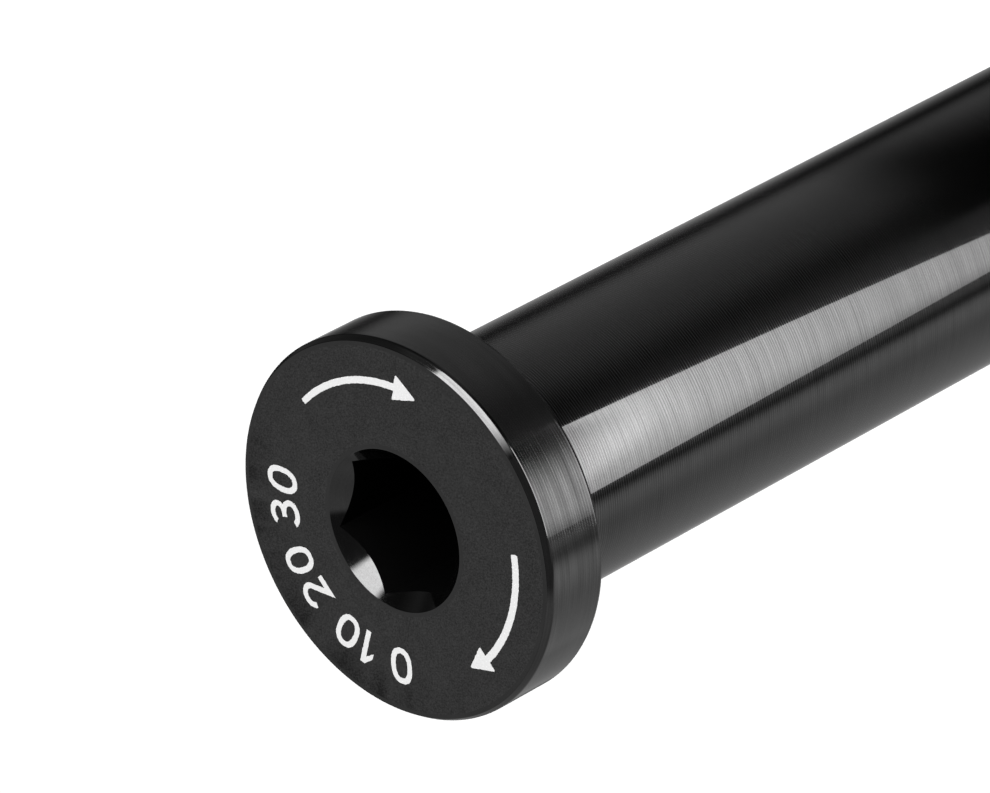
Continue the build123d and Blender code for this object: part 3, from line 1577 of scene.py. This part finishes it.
@dataclass
class Studio:
    """Floor, world, lamp and the three surfaces that only reflections show."""

    sizes: AxleSizes
    floor_half: float = 1.5
    world_level: float = 0.45
    lamp_energy: float = 6.3
    lamp_size: float = 0.5
    lamp_azimuth: float = 65.0
    lamp_elevation: float = 55.0
    lamp_distance: float = 0.9

    @staticmethod
    def reflected_only(name: str, grid: np.ndarray, glow: np.ndarray) -> bpy.types.Object:
        """Makes a glowing grid that only reflections show.

        Args:
            name: its name.
            grid: (rows, columns, 3) points.
            glow: (rows, columns) strengths.

        Returns:
            The new stage object.
        """
        index = np.arange(glow.size).reshape(glow.shape)
        faces = np.stack([index[:-1, :-1], index[1:, :-1], index[1:, 1:], index[:-1, 1:]], axis=-1)
        finish = Glow(name + "_glow")
        made = linked_mesh(name, grid.reshape(-1, 3), faces.reshape(-1, 4), [finish.make()])
        light = made.data.attributes.new(finish.attribute, "FLOAT", "POINT")
        light.data.foreach_set("value", glow.ravel().astype(np.float32))
        made.visible_camera = False
        made.visible_diffuse = False
        made.visible_transmission = False
        made.visible_volume_scatter = False
        made.visible_shadow = False
        return made

    def floor(self) -> bpy.types.Object:
        """Makes the floor, one level square.

        Returns:
            The floor.
        """
        corners = np.array([(-1, -1, 0), (1, -1, 0), (1, 1, 0), (-1, 1, 0)]) * self.floor_half
        made = linked_mesh("studio_floor", corners, np.array([(0, 1, 2, 3)]), [FloorFinish().make()])
        return made

    def world(self) -> bpy.types.World:
        """Sets a world that is white to the camera and in reflections, and a soft light elsewhere.

        Returns:
            The world.
        """
        wiring = Wiring(bpy.data.worlds.new("studio_world"))
        range_inputs = {"Value": wiring.seen(), "To Min": self.world_level, "To Max": 1.0}
        level = wiring.node("MapRange", inputs=range_inputs)
        background = wiring.node("Background", inputs={"Strength": level.outputs[0]})
        world = wiring.shade(background.outputs[0], "OutputWorld")
        bpy.context.scene.world = world
        return world

    def lamp(self) -> bpy.types.Object:
        """Adds the soft key lamp, which lights the marks and the floor and stays out of reflections.

        Returns:
            The lamp.
        """
        light = bpy.data.lights.new("key_lamp", "AREA")
        light.shape = "SQUARE"
        light.size = self.lamp_size
        light.energy = self.lamp_energy
        made = bpy.data.objects.new("key_lamp", light)
        back = direction(self.lamp_azimuth, self.lamp_elevation)
        made.location = Vector((0, 0, self.sizes.face_z)) + back * self.lamp_distance
        made.rotation_mode = "QUATERNION"
        made.rotation_quaternion = back.to_track_quat("Z", "Y")
        made.visible_glossy = False
        made.visible_camera = False
        bpy.context.scene.collection.objects.link(made)
        return made

    def build(self) -> None:
        """Sets up the whole studio."""
        self.world()
        self.floor()
        self.reflected_only("reflection_wall", *ReflectionWall().surface())
        self.reflected_only("strip_light", *StripLight().surface())
        self.reflected_only("key_card", *KeyCard().surface())
        self.lamp()


@dataclass(frozen=True)
class ProductCamera:
    """A long lens that looks down on the head, turned so that the shank runs up to the right.

    The eye lies on the line back from the face's middle, then moves sideways and up in its own
    axes. Angles are in degrees. The roll turns the picture's up direction from the level one.
    """

    azimuth: float = 20.144
    elevation: float = 41.879
    roll: float = 117.487
    distance: float = 319.791 * MM
    right_offset: float = 4.269 * MM
    up_offset: float = 5.659 * MM
    lens: float = 276.345
    sensor: float = 36.0
    nearest: float = 0.01
    farthest: float = 20.0

    def make(self, sizes: AxleSizes) -> bpy.types.Object:
        """Adds the camera and makes it the scene's.

        Args:
            sizes: the axle's sizes.

        Returns:
            The camera.
        """
        roll = math.radians(self.roll)
        back = direction(self.azimuth, self.elevation)
        level_right = direction(self.azimuth + 90, 0)
        level_up = back.cross(level_right)
        right = level_right * math.cos(roll) - level_up * math.sin(roll)
        up = level_up * math.cos(roll) + level_right * math.sin(roll)
        eye = Vector((0, 0, sizes.face_z)) + back * self.distance
        eye += right * self.right_offset + up * self.up_offset
        data = bpy.data.cameras.new("product_camera")
        data.sensor_fit = "HORIZONTAL"
        data.sensor_width = self.sensor
        data.lens = self.lens
        data.clip_start, data.clip_end = self.nearest, self.farthest
        camera = bpy.data.objects.new("product_camera", data)
        camera.matrix_world = Matrix.Translation(eye) @ Matrix((right, up, back)).transposed().to_4x4()
        bpy.context.scene.collection.objects.link(camera)
        bpy.context.scene.camera = camera
        return camera


def body_materials() -> list[bpy.types.Material]:
    """Makes the body's materials.

    Returns:
        One for each Finish, in its order.
    """
    finishes = {
        Finish.SHANK: TurnedFinish("anodised_shank", Across.HEIGHT),
        Finish.RIM: TurnedFinish(
            "anodised_rim",
            Across.HEIGHT,
            base=0.008,
            crest_painted_sheen=0.006,
            roughness=0.055,
            feed_contrast=0.13,
            line_contrast=0.85,
            band_contrast=0.25,
        ),
        Finish.BEVEL: TurnedFinish(
            "anodised_bevel",
            Across.HEIGHT,
            crest_painted_sheen=0,
            roughness=0.08,
            crest_roughness=0.05,
            feed_contrast=0.05,
        ),
        Finish.FACE: FaceFinish(),
        Finish.COUNTERSINK: TurnedFinish(
            "anodised_countersink",
            Across.RADIUS,
            crest_painted_sheen=0,
            roughness=0.06,
            crest_roughness=0.08,
            anisotropy=0,
            feed=0.05 * MM,
            feed_contrast=0.03,
            line_contrast=0.15,
            line_length=2 * MM,
        ),
        # The socket's walls keep a tenth of the anodising's reflection and a darker base: painted shade
        # that makes the recess black.
        Finish.SOCKET: TurnedFinish(
            "anodised_socket",
            Across.HEIGHT,
            base=0.0003,
            crest_painted_sheen=0,
            specular=0.05,
            roughness=0.5,
            feed_contrast=0,
            line_contrast=0,
            anisotropy=0,
        ),
        Finish.THREAD: TurnedFinish(
            "anodised_thread", Across.HEIGHT, crest_painted_sheen=0, roughness=0.28, anisotropy=0.4
        ),
        Finish.BORE: TurnedFinish(
            "anodised_bore", Across.HEIGHT, crest_painted_sheen=0, roughness=0.35, anisotropy=0.5
        ),
    }
    return [finishes[finish].make() for finish in Finish]


def main() -> None:
    """Builds the axle, its marks, the studio and the camera."""
    logging.basicConfig(level=logging.INFO, format="%(name)s: %(message)s")
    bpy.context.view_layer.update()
    sizes = AxleSizes.from_frame(frame)

    body = TurnedAxle(sizes).build(body_materials())
    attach(body, "root")
    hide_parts(NODE)
    log.info("%s: %d faces", body.name, len(body.data.polygons))
    for mark in FaceMarks(sizes).build(LaserMarkFinish().make()):
        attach(mark, "root")
        log.info("%s: %d faces", mark.name, len(mark.data.polygons))

    Studio(sizes).build()
    ProductCamera().make(sizes)
    bpy.context.scene.view_settings.view_transform = "Standard"


if __name__ == "__main__":
    main()
